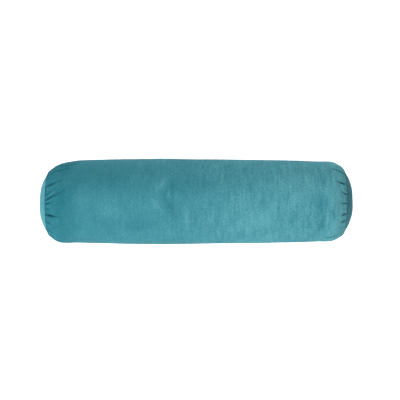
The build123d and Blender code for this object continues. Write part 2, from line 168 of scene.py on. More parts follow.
def resample(points, angles, places):
    """Points and normals at the given distances along an outline."""
    length = run_length(points)
    x = np.interp(places, length, points[:, 0])
    r = np.interp(places, length, points[:, 1])
    angle = np.interp(places, length, angles)
    return np.stack([x, r], 1), angle


def slimmer(x, from_zip=1.0):
    """How far the radius falls back on the right half, which keeps its size along the zip."""
    slim = SLIM * smoothstep(-0.10, 0.05, x) * smoothstep(0.352, 0.300, x)
    return slim * smoothstep(0.018, 0.045, from_zip)


def tube_outline():
    """Half outline of the velvet tube, from the middle to the end seam."""
    middle, a0 = arc_points(np.array([0.0, RADIUS]), (1.0, 0.0), HAUNCH, 60)
    haunch, a1 = arc_points(HAUNCH, (math.sin(a0[-1]), -math.cos(a0[-1])), SHOULDER, 60)
    shoulder, a2 = arc_points(SHOULDER, (math.sin(a1[-1]), -math.cos(a1[-1])), SEAM_POINT, 60)
    points = np.concatenate([middle, haunch[1:], shoulder[1:]])
    return points, np.concatenate([a0, a1[1:], a2[1:]])


outline, outline_angles = tube_outline()
HALF_LENGTH = run_length(outline)[-1]

# ---- Meshes ----

LEAN = 0.0045  # how far the left end has slumped towards the front
LEAN_STARTS = 0.292  # from the middle
LEAN_WHOLE = 0.352


def grid_faces(rows, columns, wrap=False):
    """Quads over a grid of points, row by row. A wrapped grid closes on itself round the columns."""
    r = np.arange(rows - 1)[:, None]
    c = np.arange(columns if wrap else columns - 1)[None, :]
    after = (c + 1) % columns
    corners = [r * columns + c, (r + 1) * columns + c, (r + 1) * columns + after, r * columns + after]
    return np.stack(corners, -1).reshape(-1, 4)


def lean(points):
    """Moves the points of the left end towards the front."""
    points = np.array(points)
    points[..., 1] -= LEAN * smoothstep(LEAN_STARTS, LEAN_WHOLE, -points[..., 0])
    return points


def place_object(name, data, place=(0, 0, 0)):
    made = bpy.data.objects.new(name, data)
    made.location = place
    bpy.context.scene.collection.objects.link(made)
    return made


def make_mesh(name, points, faces, cloth, **shades):
    """A smooth mesh object with its cloth attribute, and any single values that its material reads."""
    mesh = bpy.data.meshes.new(name)
    faces = faces.tolist() if isinstance(faces, np.ndarray) else faces
    mesh.from_pydata(lean(points).reshape(-1, 3).tolist(), [], faces)
    attribute = mesh.attributes.new("cloth", "FLOAT_VECTOR", "POINT")
    attribute.data.foreach_set("vector", np.asarray(cloth, np.float32).reshape(-1))
    for shade, values in shades.items():
        attribute = mesh.attributes.new(shade, "FLOAT", "POINT")
        attribute.data.foreach_set("value", np.asarray(values, np.float32).reshape(-1))
    mesh.shade_smooth()
    mesh.validate()
    return place_object(name, mesh)


def finish_piece(piece, slot, node):
    """Look, slot and body of a piece, and the CAD node that it stands for."""
    piece.data.materials.append(looks[slot])
    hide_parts(node)
    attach(piece, "bolster")


def thicken(piece, thickness):
    """Gives cloth its thickness, inwards from the side that shows."""
    solid = piece.modifiers.new("thickness", "SOLIDIFY")
    solid.thickness = thickness
    solid.offset = -1.0
    solid.use_even_offset = False


def close_poles(piece):
    """Joins the points that meet at the middle of a round end."""
    weld = piece.modifiers.new("weld", "WELD")
    weld.merge_threshold = 1e-6


# ---- Gathers ----

TOP_ANGLE = math.atan2(ZIP_UP[2], ZIP_OUT[2])  # where the top of the bolster is, from the zip
DEEPEST = 0.0046  # a fold goes no further in than this


def gather_list(shown, count, longest):
    """All the gathers of one end: those given, and seeded ones over the rest of the seam."""
    folds = list(shown)
    first = max(f[0] for f in shown)
    last = min(f[0] for f in shown) + 360
    step = (last - first) / (count + 1)
    for number in range(1, count + 1):
        angle = first + step * (number + random.uniform(-0.28, 0.28))
        length = longest * random.uniform(0.3, 1.0)
        deepest = random.uniform(2.2, 4.2)
        slant = random.uniform(-0.35, 0.35)
        folds.append((angle, length, deepest, slant))
    return folds


# Angle from the top in degrees, towards the back; length and depth in mm; slant as a slope
LEFT_GATHERS = [
    (63, 90, 5.6, 0.05),
    (54, 70, 5.2, 0.02),
    (45, 30, 3.0, 0.05),
    (30, 54, 4.4, 0.12),
    (13, 36, 3.8, 0.50),
    (4.5, 60, 4.8, 0.42),
    (-2, 30, 3.4, 0.25),
    (-9, 20, 3.2, 0.00),
    (-20, 50, 4.4, 0.02),
    (-33, 24, 2.6, -0.10),
    (-52, 26, 2.2, -0.05),
    (-72, 44, 4.0, -0.10),
]
RIGHT_GATHERS = [
    (52, 46, 4.4, 0.05),
    (29, 38, 3.8, 0.05),
    (11.5, 22, 3.8, 0.35),
    (-3, 18, 3.6, 0.05),
    (-21, 20, 3.6, 0.0),
    (-34, 26, 2.6, 0.10),
    (-59, 60, 5.4, -0.10),
]
gathers = {
    -1: gather_list(LEFT_GATHERS, 13, 48),
    1: gather_list(RIGHT_GATHERS, 13, 34),
}


def gather_depth(side, distance, angle, radius):
    """How far the cloth is drawn in or pushed out at one end, and how much painted shade darkens its
    creases.

    Each fold is a valley between two ridges, narrow at the seam and wider further in. Painted shade darkens
    a line along each valley.
    """
    depth = np.zeros(np.broadcast(distance, angle).shape)
    dark = np.zeros_like(depth)
    for fold_angle, length, deepest, slant in gathers[side]:
        length = length / 1000
        centre = TOP_ANGLE - math.radians(fold_angle) - slant * distance / radius
        offset = wrapped(angle - centre) * radius
        width = 0.0013 + 0.050 * distance
        u = np.abs(offset) / width
        valley = np.exp(-(u**1.3))
        ridge = 0.40 * np.exp(-(((u - 2.3) / 0.9) ** 2))
        along_fold = np.clip(1 - distance / length, 0, 1)
        fade = smoothstep(0, 1, along_fold**0.8)
        start = 0.5 + 0.5 * smoothstep(0.0, 0.004, distance)
        depth += 1.2 * deepest / 1000 * (ridge - valley) * fade * start
        # painted shade: a dark line along each fold's valley, darkest for the deepest folds
        line = np.exp(-((np.abs(offset) / (0.0011 + 0.022 * distance)) ** 1.6))
        dark = np.maximum(dark, line * along_fold**0.35 * deepest / 4.2)
    return np.maximum(depth, -DEEPEST), np.minimum(dark, 1.0)


def noise_waves(x, around, count, shortest, longest, seed):
    """A smooth random field made of waves over the cloth."""
    waves = np.random.default_rng(seed)
    field = np.zeros(np.broadcast(x, around).shape)
    for _ in range(count):
        length = waves.uniform(shortest, longest)
        direction = waves.uniform(0, 2 * math.pi)
        phase = waves.uniform(0, 2 * math.pi)
        across = x * math.cos(direction) + around * math.sin(direction)
        field += np.sin(2 * math.pi * across / length + phase)
    return field / math.sqrt(count)


# ---- Nap and painted shade ----

# Where a hand has brushed the pile: place along the bolster (mm), degrees from the top towards the
# back, size along the bolster and round it (mm), slope (mm along per mm round), and how pale it turns
BRUSH_MARKS = [
    (-222, 28, 58, 34, 0.1, -0.12),
    (-338, 4, 30, 40, 0.0, -0.08),
    (-300, 26, 50, 26, 0.0, -0.04),
    (-68, -2, 9, 26, -0.35, -0.20),
    (-58, 20, 12, 24, 0.10, -0.16),
    (-88, 22, 10, 16, 0.60, 0.16),
    (-103, -2, 9, 22, -0.50, 0.14),
    (-70, 6, 4, 12, 0.10, 0.20),
    (-4, 22, 44, 26, 0.0, -0.14),
    (-35, 0, 1.5, 80, 0.02, -0.16),
    (-24, -25, 7, 26, -0.05, 0.16),
    (-146, -34, 34, 18, 0.0, -0.14),
    (-209, -14, 34, 24, 0.0, 0.14),
    (311, -35, 8, 24, 0.10, -0.26),
    (311, -9, 12, 24, 0.10, -0.18),
    (338, -18, 9, 20, 0.10, -0.16),
    (120, -30, 60, 34, 0.0, 0.08),
]


def nap_field(x, angle):
    """Nap tone and painted shade: a slow sweep along the bolster that paints the left darker and the right
    paler, painted shade at the left end and painted light at the right end, and the brush marks in the nap.
    """
    # painted shade and light: darker to the left, paler to the right
    nap = 0.22 * smoothstep(-0.30, 0.30, x) - 0.09 + 0 * angle
    # painted shade near the left end, painted light near the right end
    nap = nap - 0.20 * smoothstep(-0.250, -0.368, x) + 0.15 * smoothstep(0.320, 0.362, x)
    for place, degrees, wide, long, slope, tone in BRUSH_MARKS:
        around = wrapped(TOP_ANGLE - math.radians(degrees) - angle) * RADIUS
        across = x - place / 1000 - slope * around
        nap = nap + tone * np.exp(-((across * 1000 / wide) ** 2) - (around * 1000 / long) ** 2)
    return nap


# ---- Cover tube ----

OPENING_HALF = along("zip_topstitch_upper", ALONG_X)[1] + 0.002
GAP_HALF = 0.0044  # the opening's half width
STITCH_LINE = 0.0080  # topstitching from the zip's centre line
ZIP_FLAT = along("cover_body", ZIP_OUT)[1]
COLUMNS = 560
LEFT_DROP = 0.0026  # the left shoulder is a little rounder
LEFT_SHOULDER = 0.366  # where, from the middle
DROP_WIDTH = 0.016
SIM_REACH = 0.105  # length of cloth simulated at each end
SIM_ROWS, SIM_COLUMNS, SIM_FRAMES = 36, 221, 20
EXCESS = 0.45  # how much wider than the seam the flat cloth is, as a share of its whole taper
SEED_SHARE = 1.3  # how deep the gathers are that the simulation is pulled towards
HOLD = 0.12  # how firmly it is pulled
FOLD_CAP = 0.0020  # how far simulated folds may stand out and dip in
DIP_CAP = 0.0032
SIDEWAYS = 0.7  # share kept of its movement along the surface


def flatten(points, zip_level, floor_level=0.0):
    """Presses cloth flat along the zip and under the bolster, with soft edges."""
    soft = 0.001
    out = (points - AXIS) @ ZIP_OUT
    pressed = zip_level - soft * np.logaddexp(0, (zip_level - out) / soft)
    points = points + (np.minimum(pressed, out) - out)[..., None] * ZIP_OUT
    height = points[..., 2] - floor_level
    points[..., 2] = floor_level + soft * np.logaddexp(0, height / soft)
    return points


def row_places():
    """Distances of the rows from the middle: close together in the gathers."""
    fine = 0.1
    middle = np.linspace(-(HALF_LENGTH - fine), HALF_LENGTH - fine, 130)
    end = np.linspace(HALF_LENGTH - fine, HALF_LENGTH, 66)[1:]
    return np.concatenate([-end[::-1], middle, end])


def left_drop(x):
    """How far the left shoulder's radius falls back."""
    return LEFT_DROP * np.exp(-(((-x - LEFT_SHOULDER) / DROP_WIDTH) ** 2))


def tube_frame(places):
    """Outline points and normals at signed distances from the middle."""
    points, angles = resample(outline, outline_angles, np.abs(places))
    side = np.where(places < 0, -1.0, 1.0)
    points[:, 0] *= side
    points[:, 1] -= left_drop(points[:, 0])
    return points, side * np.cos(angles), np.sin(angles)


def opening(x):
    """1 where the zip's opening is, and 0 past its ends."""
    return 1 - smoothstep(OPENING_HALF - 0.003, OPENING_HALF + 0.003, np.abs(x))


def tube_surface(x_r, normal_x, normal_r, share):
    """Smooth surface of the tube: places, normals and angles, across the cloth from edge to edge."""
    x, r = x_r[:, :1], x_r[:, 1:]
    half_gap = 0.00008 + GAP_HALF * opening(x)
    edge = np.arcsin((half_gap + FOLD) / r)
    angle = edge + (2 * math.pi - 2 * edge) * share[None, :]
    base, direction = around_axis(x, r, angle)
    return base, tilted(normal_x, normal_r, direction), angle


def drawn_in(places, distance, angle, r):
    """Depth of the gathers of both ends, and the painted shade that darkens their creases."""
    depth, crease = np.zeros_like(angle), np.zeros_like(angle)
    for side in (-1, 1):
        rows = np.nonzero(np.sign(places) == side)[0]
        drawn, crease[rows] = gather_depth(side, np.clip(distance[rows], 0, None), angle[rows], r[rows])
        depth[rows] = drawn * np.clip(1 + distance[rows] / 0.004, 0, 1)
    return depth, crease


CLOTH = {
    "vertex_group_mass": "sewn",
    "quality": 6,
    "mass": 0.05,
    "tension_stiffness": 20,
    "compression_stiffness": 20,
    "shear_stiffness": 5,
    "bending_stiffness": 6,
    "air_damping": 5,
    "use_pressure": True,
    "uniform_pressure_force": 120,
}


def run_cloth(flat, drawn, sewn):
    """Blender's cloth simulation of a grid of points: flat cloth whose sewn points are drawn in."""
    scene = bpy.context.scene
    rows, columns = flat.shape[:2]
    mesh = bpy.data.meshes.new("cloth_proxy")
    mesh.from_pydata(flat.reshape(-1, 3).tolist(), [], grid_faces(rows, columns)[:, ::-1].tolist())
    proxy = place_object("cloth_proxy", mesh)
    proxy.shape_key_add(name="flat")
    gathering = proxy.shape_key_add(name="drawn_in")
    gathering.data.foreach_set("co", drawn.astype(np.float32).reshape(-1))
    for number, share in ((1, 0.0), (int(0.6 * SIM_FRAMES), 1.0)):
        gathering.value = share
        gathering.keyframe_insert("value", frame=number)
    group = proxy.vertex_groups.new(name="sewn")
    group.add(list(range(rows * columns)), HOLD, "REPLACE")
    group.add(np.nonzero(sewn.reshape(-1))[0].tolist(), 1.0, "REPLACE")
    cloth = proxy.modifiers.new("cloth", "CLOTH")
    for key, value in CLOTH.items():
        setattr(cloth.settings, key, value)
    cloth.settings.effector_weights.gravity = 0
    cloth.point_cache.frame_start = 1
    cloth.point_cache.frame_end = SIM_FRAMES
    for number in range(1, SIM_FRAMES + 1):
        scene.frame_set(number)
    settled = proxy.evaluated_get(bpy.context.evaluated_depsgraph_get()).data
    co = np.zeros(rows * columns * 3)
    settled.vertices.foreach_get("co", co)
    bpy.data.objects.remove(proxy)
    bpy.data.meshes.remove(mesh)
    scene.frame_set(1)
    return co.reshape(rows, columns, 3)


def cubic_weights(fine, coarse):
    """Matrix that takes values at evenly spaced coarse places to fine places, smoothly."""
    position = np.clip((fine - coarse[0]) / (coarse[1] - coarse[0]), 0, len(coarse) - 1.0001)
    first = np.floor(position).astype(int)
    t = position - first
    shares = [
        0.5 * (-t + 2 * t**2 - t**3),
        0.5 * (2 - 5 * t**2 + 3 * t**3),
        0.5 * (t + 4 * t**2 - 3 * t**3),
        0.5 * (-(t**2) + t**3),
    ]
    weights = np.zeros((len(fine), len(coarse)))
    for offset, share in zip((-1, 0, 1, 2), shares):
        at = np.clip(first + offset, 0, len(coarse) - 1)
        np.add.at(weights, (np.arange(len(fine)), at), share)
    return weights


def soften(field, axis):
    """Takes the grid's own ripple out of a field of points."""
    ends = [(0, 0)] * field.ndim
    ends[axis] = (1, 1)
    padded = np.pad(field, ends, "edge")
    count = padded.shape[axis]
    before, after = (np.take(padded, range(k, count - 2 + k), axis) for k in (0, 2))
    return 0.5 * field + 0.25 * (before + after)


def gather_end(side, places, share):
    """Simulates one end of the tube as its seam draws it in: how far places on the cloth move."""
    coarse_places = side * np.linspace(HALF_LENGTH - SIM_REACH, HALF_LENGTH, SIM_ROWS)
    coarse_share = np.linspace(0, 1, SIM_COLUMNS)
    points, normal_x, normal_r = tube_frame(coarse_places)
    base, normal, angle = tube_surface(points, normal_x, normal_r, coarse_share)
    distance = HALF_LENGTH - np.abs(coarse_places)[:, None]
    depth, _ = drawn_in(coarse_places, distance, angle, points[:, 1:])
    # the flat cloth is wider at the seam than the panel it is sewn to
    full_r = points[0, 1]
    flat_r = points[:, 1] + EXCESS * (full_r - points[:, 1])
    flat_points = np.stack([points[0, 0] + coarse_places - coarse_places[0], flat_r], 1)
    flat, _, _ = tube_surface(flat_points, 0 * normal_x, 0 * normal_r + 1, coarse_share)
    drawn = base + normal * (SEED_SHARE * depth)[..., None]
    sewn = np.zeros(angle.shape, bool)
    sewn[[0, -1]] = True
    sewn[:, [0, 1, -2, -1]] = True
    if side < 0:
        flat, drawn, sewn = flat[::-1], drawn[::-1], sewn[::-1]
    moved = run_cloth(flat, drawn, sewn)
    if side < 0:
        moved = moved[::-1]
    moved = moved - base
    lift = (moved * normal).sum(-1)
    # the bolster keeps its outline: only the folds stay
    level = lift - lift.mean(1, keepdims=True)
    cap = np.where(level > 0, FOLD_CAP, DIP_CAP)
    level = cap * np.tanh(level / cap)
    moved = SIDEWAYS * (moved - lift[..., None] * normal) + level[..., None] * normal
    moved *= smoothstep(SIM_REACH, 0.6 * SIM_REACH, distance)[..., None]
    for axis in (0, 1):
        moved = soften(moved, axis)
    across = cubic_weights(share, coarse_share)
    lengthways = cubic_weights(side * places, side * coarse_places)
    lengthways *= (side * places > HALF_LENGTH - SIM_REACH)[:, None]
    return np.einsum("ir,rcv,jc->ijv", lengthways, moved, across, optimize=True)


def settled_cloth(places, share):
    """How far the cloth moves from the smooth tube as both ends are gathered."""
    return gather_end(-1, places, share) + gather_end(1, places, share)


def tube_rows():
    """Rows of the tube and its turned-in allowances: places on the cloth, outline and normals."""
    places = row_places()
    points, normal_x, normal_r = tube_frame(places)
    turn, turn_angle = turn_points(outline[-1], outline_angles[-1], FOLD, -math.pi / 2, 10)
    tail = np.concatenate([turn[1:], turn[-1] + LAP_STEPS])
    tail_angle = np.concatenate([turn_angle[1:], np.full(len(LAP_STEPS), -math.pi / 2)])
    tail_places = HALF_LENGTH + run_length(np.vstack([outline[-1], tail]))[1:]
    places = np.concatenate([-tail_places[::-1], places, tail_places])
    x_r = np.concatenate([(tail * np.array([-1.0, 1.0]))[::-1], points, tail])
    normal_x = np.concatenate([-np.cos(tail_angle)[::-1], normal_x, np.cos(tail_angle)])
    normal_r = np.concatenate([np.sin(tail_angle)[::-1], normal_r, np.sin(tail_angle)])
    return places, x_r, normal_x, normal_r


def shape_tube(places, x_r, surface, share):
    """The tube's cloth, gathered, a little slack and pressed flat, and the painted shade that darkens its
    creases.
    """
    base, normal, angle = surface
    x, r = x_r[:, :1], x_r[:, 1:]
    distance = HALF_LENGTH - np.abs(places)[:, None]
    inside = np.clip(distance, 0, None)
    around = angle * r
    angle_from_zip = np.minimum(angle, 2 * math.pi - angle)
    from_zip = angle_from_zip * r
    depth, crease = drawn_in(places, distance, angle, r)
    # painted shade along the end seams
    crease = np.maximum(crease, 0.8 * (1 - smoothstep(0.0, 0.0035, np.abs(distance))))
    slack = 0.00022 * noise_waves(x, around, 24, 0.05, 0.16, 3)
    slack += 0.00009 * noise_waves(x, around * 0.35, 20, 0.012, 0.035, 5)
    depth += slack * smoothstep(0.0, 0.03, inside)
    room = np.clip(r - np.where(inside < 0.02, PANEL_R + 0.0036, 0.0), 0.0, None)
    depth = np.maximum(depth, -room) - slimmer(x, from_zip)
    moved = normal * depth[..., None]
    moved += settled_cloth(places, share) * smoothstep(0.0, 0.006, inside)[..., None]
    near_zip = smoothstep(0.001, 0.014, from_zip)
    points = flatten(base + moved * near_zip[..., None], ZIP_FLAT)
    stitch_line = np.exp(-(((r * np.sin(angle_from_zip) - STITCH_LINE) / 0.0013) ** 2))
    points -= (0.0004 * stitch_line * opening(x) * (np.cos(angle) > 0))[..., None] * ZIP_OUT
    return points, crease


def add_hems(points, normal):
    """Turns the two long edges under, flat behind the cloth. Also counts the points across a hem."""
    turn = np.linspace(0, math.pi, 9)[1:]
    offsets = [(-FOLD * math.sin(angle), FOLD * math.cos(angle) - FOLD) for angle in turn]
    offsets += [(step, -2 * FOLD) for step in np.linspace(0, 0.008, 5)[1:]]
    hems = []
    for column, sign in ((0, 1), (-1, -1)):
        point, out = points[:, column], normal[:, column]
        hems.append(np.stack([point + sign * up * ZIP_UP + back * out for up, back in offsets], 1))
    return np.concatenate([hems[0][:, ::-1], points, hems[1]], 1), len(offsets)


def build_tube():
    """The velvet tube, open along the zip, with all its edges turned under."""
    places, x_r, normal_x, normal_r = tube_rows()
    share = np.linspace(0, 1, COLUMNS)
    surface = tube_surface(x_r, normal_x, normal_r, share)
    _, normal, angle = surface
    points, crease = shape_tube(places, x_r, surface, share)
    points, hem = add_hems(points, normal)
    pad = np.arange(1, hem + 1) * 0.001
    around = angle * x_r[:, 1:]
    around = np.concatenate([around[:, :1] - pad[::-1], around, around[:, -1:] + pad], 1)
    cloth = on_cloth(places[:, None], around)
    crease = np.pad(crease, ((0, 0), (hem, hem)))
    nap = np.pad(nap_field(x_r[:, :1], angle), ((0, 0), (hem, hem)), "edge")
    faces = grid_faces(*around.shape)[:, ::-1]
    piece = make_mesh("velvet_tube", points, faces, cloth, crease=crease, nap=nap)
    thicken(piece, VELVET)
    finish_piece(piece, "velvet", "cover_body")


# ---- End panels ----

SLUMP = 0.0018  # how far the domes lie inside the frame's
FULLNESS = 2.7  # power of the dome's curve
DOME_ROWS = 60


def panel_outline():
    """Outline of an end panel from its middle, over the dome and into the seam."""
    rim = np.array([SEAM_X + 0.0001, PANEL_R - 0.0006])
    rise = TIP_X - SLUMP - rim[0]
    share = np.sin(np.linspace(0, math.pi / 2, DOME_ROWS))
    dome = np.stack([rim[0] + rise * (1 - share**FULLNESS), rim[1] * share], 1)
    angle = np.arctan(rise * FULLNESS * share ** (FULLNESS - 1) / rim[1])
    turn, turn_angle = turn_points(dome[-1], angle[-1], FOLD, math.pi / 2, 8)
    points = np.concatenate([dome, turn[1:], turn[-1] + LAP_STEPS])
    angles = np.concatenate([angle, turn_angle[1:], np.full(len(LAP_STEPS), math.pi / 2)])
    return points, angles


def build_panel(side, word):
    """An end panel: domed, a little lumpy, and puckered where the tube's gathers meet it."""
    points, angles = panel_outline()
    turn = round_steps(360)[None, :]
    base, direction = around_axis(side * points[:, :1], points[:, 1:], turn)
    normal = tilted(side * np.cos(angles), np.sin(angles), direction)
    length = run_length(points)[:, None]
    rim = length[DOME_ROWS - 1]
    flat_x, flat_y = length * np.cos(turn), length * np.sin(turn)
    pucker = np.zeros(flat_x.shape)
    for fold_angle, _, deepest, _ in gathers[side]:
        centre = TOP_ANGLE - math.radians(fold_angle)
        offset = wrapped(turn - centre) * PANEL_R
        reach = 0.010 + 0.002 * deepest
        fold = np.exp(-((offset / 0.005) ** 2) - ((length - rim) / reach) ** 2)
        pucker -= 0.00022 * deepest * fold
    lumps = 0.0004 * noise_waves(flat_x, flat_y, 16, 0.04, 0.12, 7)
    pucker += lumps * smoothstep(1.0, 0.8, length / rim)
    pucker *= 1 - smoothstep(0.0, 0.002, length - rim)
    place = base + normal * pucker[..., None]
    faces = grid_faces(*flat_x.shape, wrap=True)
    if side < 0:
        faces = faces[:, ::-1]
    # painted light and shade: the left end, on the lit side, a little paler than the right
    nap = np.full(flat_x.shape, 0.04 - 0.06 * side)
    piece = make_mesh(f"velvet_end_{word}", place, faces, on_cloth(flat_x, flat_y), nap=nap)
    close_poles(piece)
    thicken(piece, VELVET)
    finish_piece(piece, "velvet", f"cover_end_{word}")


# ---- Thread ----

GATHERING_ROWS = ((0.0035, 88), (0.0090, 82))  # distance from the seam, waves round it
LONG_STITCHES = 28  # stitches of the long seam on each side of the zip


def unit(vectors):
    return vectors / np.linalg.norm(vectors, axis=-1, keepdims=True)


def strands(name, paths, radius, closed=False):
    """Round thread along paths. Each path is its points and the direction that is up at each."""
    sides = 6
    turn = round_steps(sides)
    points, faces, cloth, first = [], [], [], 0
    for path, up in paths:
        if closed:
            ahead = np.roll(path, -1, 0) - np.roll(path, 1, 0)
        else:
            ahead = np.gradient(path, axis=0)
        ahead = unit(ahead)
        side = unit(np.cross(ahead, up))
        lift = np.cross(side, ahead)
        ring = np.cos(turn)[:, None] * side[:, None] + np.sin(turn)[:, None] * lift[:, None]
        points.append((path[:, None] + radius * ring).reshape(-1, 3))
        count = len(path) * sides
        quads = grid_faces(len(path) + closed, sides, wrap=True) % count
        faces += (quads + first).tolist()
        if not closed:
            faces.append([first + k for k in range(sides)])
            faces.append([first + count - sides + k for k in reversed(range(sides))])
        cloth.append(on_cloth(run_length(path)[:, None], turn * radius).reshape(-1, 3))
        first += count
    return make_mesh(name, np.concatenate(points), faces, np.concatenate(cloth))


def pulses(place, width):
    """A row of narrow pulses, one at each whole number."""
    return np.exp(-(((place - np.round(place)) / width) ** 2))


def zigzag(place):
    """Swings to both sides once for each whole number, in nearly straight lines."""
    return np.arcsin(0.98 * np.sin(2 * math.pi * place)) / (math.pi / 2)


def build_end_threads(side, word):
    """Lockstitches through the seam allowances of the cover, and the two gathering threads."""
    turn = round_steps(SEAM_STITCHES * 10)
    hole = pulses(turn / (2 * math.pi) * SEAM_STITCHES, 0.12)
    x = side * (SEAM_X - ALLOWANCE / 2)
    needle = around_axis(x, PANEL_R + 0.0016 - 0.0012 * hole, turn)
    bobbin = around_axis(x, PANEL_R - 0.0014 + 0.0012 * hole, turn)
    seam = strands(f"end_seam_thread_{word}", [needle, bobbin], THREAD_R, closed=True)
    finish_piece(seam, "cover_thread", f"cover_end_stitches_{word}")
    rows = []
    for inset, waves in GATHERING_ROWS:
        wobble = 0.0004 * np.sin(waves * turn)
        rows.append(around_axis(side * (SEAM_X - inset) + wobble, PANEL_R + 0.0017, turn))
    gathering = strands(f"gathering_thread_{word}", rows, THREAD_R, closed=True)
    finish_piece(gathering, "cover_thread", f"gathering_threads_{word}")


def build_long_seam_thread(side, word):
    """The hidden stitches of the long seam, between the zip and one end."""
    places = np.linspace(OPENING_HALF + 0.004, HALF_LENGTH - 0.004, LONG_STITCHES * 8)
    points, _ = resample(outline, outline_angles, places)
    swing = 0.0006 * np.sin(np.linspace(0, LONG_STITCHES * 2 * math.pi, len(places)))
    x = side * points[:, 0]
    out = np.minimum(points[:, 1] - left_drop(x), ZIP_FLAT) - 1.2 * VELVET
    path = zip_point(x, swing, out)
    piece = strands(f"long_seam_thread_{word}", [(path, ZIP_OUT)], THREAD_R)
    finish_piece(piece, "cover_thread", f"long_seam_stitches_{word}")


# ---- Zip ----


def build_tape(word, sign):
    """Twill tape: a thin strip, a little wavy between its stitches."""
    node = f"zip_tape_{word}"
    left, right = along(node, ALONG_X)
    edges = np.sort(np.abs(along(node, ZIP_UP)))
    bottom, top = along(node, ZIP_OUT)
    x = np.linspace(left, right, 400)[:, None]
    up = sign * np.linspace(edges[0], edges[1], 16)[None, :]
    dip = 0.00004 * (1 + np.sin(x / 0.004 * 2 * math.pi)) * smoothstep(0.003, 0.008, np.abs(up))
    points = zip_point(x, up, top - dip)
    faces = grid_faces(400, 16)[:, ::-sign]
    piece = make_mesh(f"tape_{word}", points, faces, on_cloth(x, up))
    thicken(piece, top - bottom)
    finish_piece(piece, "zip_tape", node)


def build_coil(word, sign):
    """A wound coil: loops that reach just past the middle, between those of the other half."""
    node = f"zip_coil_{word}"
    pitch, wire = 0.0015, 0.00030
    left, right = along(node, ALONG_X)
    low, top = along(node, ZIP_OUT)
    loops = int((right - left - 2 * wire) / pitch)
    turn = np.linspace(0, 2 * math.pi * loops, loops * 14)
    phase = 0.0 if sign > 0 else math.pi
    slider_x = sum(along("zip_slider", ALONG_X)) / 2
    x = right - wire - turn / (2 * math.pi) * pitch
    parted = np.clip(0.7 * (slider_x + 0.0002 - x), 0, 0.00105)
    # the last loops stay spread, where the open slider comes to rest
    open_x = slider_x + slide["range_m"][1]
    parted += np.clip(0.7 * (open_x + 0.0002 - x), 0, 0.00105) * smoothstep(-0.0062, -0.0046, x - open_x)
    inner, outer = -0.0002 + wire, 0.0021 - wire
    up = (inner + outer) / 2 - (outer - inner) / 2 * np.cos(turn + phase) + parted
    out = (low + top) / 2 + ((top - low) / 2 - wire) * np.sin(turn + phase)
    piece = strands(f"coil_{word}", [(zip_point(x, sign * up, out), ALONG_X)], wire)
    finish_piece(piece, "zip_coil", node)


def build_topstitching(word, sign):
    """A row of lockstitches along the opening: the needle thread on top, the bobbin thread below."""
    count, pitch = 124, 0.004
    place = np.linspace(0, count, count * 14 + 1)
    hole = pulses(place, 0.11)
    x = (place - count / 2) * pitch
    under = along("zip_tape_upper", ZIP_OUT)[0]
    needle = zip_point(x, sign * STITCH_LINE, ZIP_FLAT - 0.0001 - 0.0011 * hole)
    bobbin = zip_point(x, sign * STITCH_LINE, under - 0.0002 + 0.0008 * hole)
    piece = strands(f"topstitching_{word}", [(needle, ZIP_UP), (bobbin, ZIP_UP)], 0.00026)
    finish_piece(piece, "cover_thread", f"zip_topstitch_{word}")


def build_bar_tacks():
    """Dense satin stitches across both ends of the opening."""
    paths = []
    for side in (-1, 1):
        passes = 22
        step = np.arange(passes * 8)
        across = 0.0058 * np.cos(step / 8 * math.pi)
        x = side * (OPENING_HALF + 0.0013) + 0.00019 * (step / 8 - passes / 2)
        lift = ZIP_FLAT + 0.0001 - 0.0009 * smoothstep(0.0053, 0.0058, np.abs(across))
        paths.append((zip_point(x, across, lift), ZIP_OUT))
    piece = strands("bar_tacks", paths, THREAD_R)
    finish_piece(piece, "cover_thread", "zip_bar_tacks")


def build_label():
    """Blank folded ribbon that hangs from the lower row of topstitching."""
    low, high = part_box("care_label")
    root, tip = sorted(np.abs(along("care_label", ZIP_UP)))
    bottom, top = along("care_label", ZIP_OUT)
    middle, half = (bottom + top) / 2, (top - bottom) / 2
    run = np.linspace(0, 1, 24)
    turn = np.linspace(0, math.pi, 9)[1:-1]
    up = np.concatenate([root + (tip - half - root) * run, tip - half + half * np.sin(turn)])
    out = np.concatenate([np.full(24, top), middle + half * np.cos(turn)])
    up = np.concatenate([up, up[:24][::-1]])
    out = np.concatenate([out, np.full(24, bottom)])
    x = np.linspace(low.x, high.x, 22)[:, None]
    ripple = 0.00003 * np.sin(x * 900) * smoothstep(root, tip, up)
    bend = 1.2 * slimmer(x, up)
    points = zip_point(x, -up[None, :], out[None, :] + ripple - bend)
    cloth = on_cloth(x, run_length(np.stack([up, out], 1)))
    piece = make_mesh("label", points, grid_faces(22, len(up)), cloth)
    thicken(piece, 0.00016)
    finish_piece(piece, "label", "care_label")


def plate_metal():
    """The zip's metal pieces keep their shape, with softened edges and a plated finish."""
    for name in ("zip_top_stops", "zip_bottom_stop", "zip_slider", "zip_pull_tab"):
        piece = frame["nodes"][name]
        piece.data.materials.clear()
        piece.data.materials.append(looks["nickel"])
        bevel = piece.modifiers.new("soft_edges", "BEVEL")
        bevel.width = 0.00015
        bevel.segments = 2
        bevel.limit_method = "ANGLE"
        bevel.angle_limit = math.radians(35)


# ---- Inner case and filling ----

TICKING = 0.0005
CASE_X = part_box("case_body")[1].x
CASE_HOLE_R = 0.0780
CASE_CORNER_R = 0.0795  # where the case's rounded corner ends
CASE_CORNER = 0.014  # how far from the case's end it starts
CASE_LEVEL = along("case_body", ZIP_OUT)[1]
CASE_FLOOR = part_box("case_body")[0].z
SLACK = 0.0098  # the case hangs back from the cover under the gathers


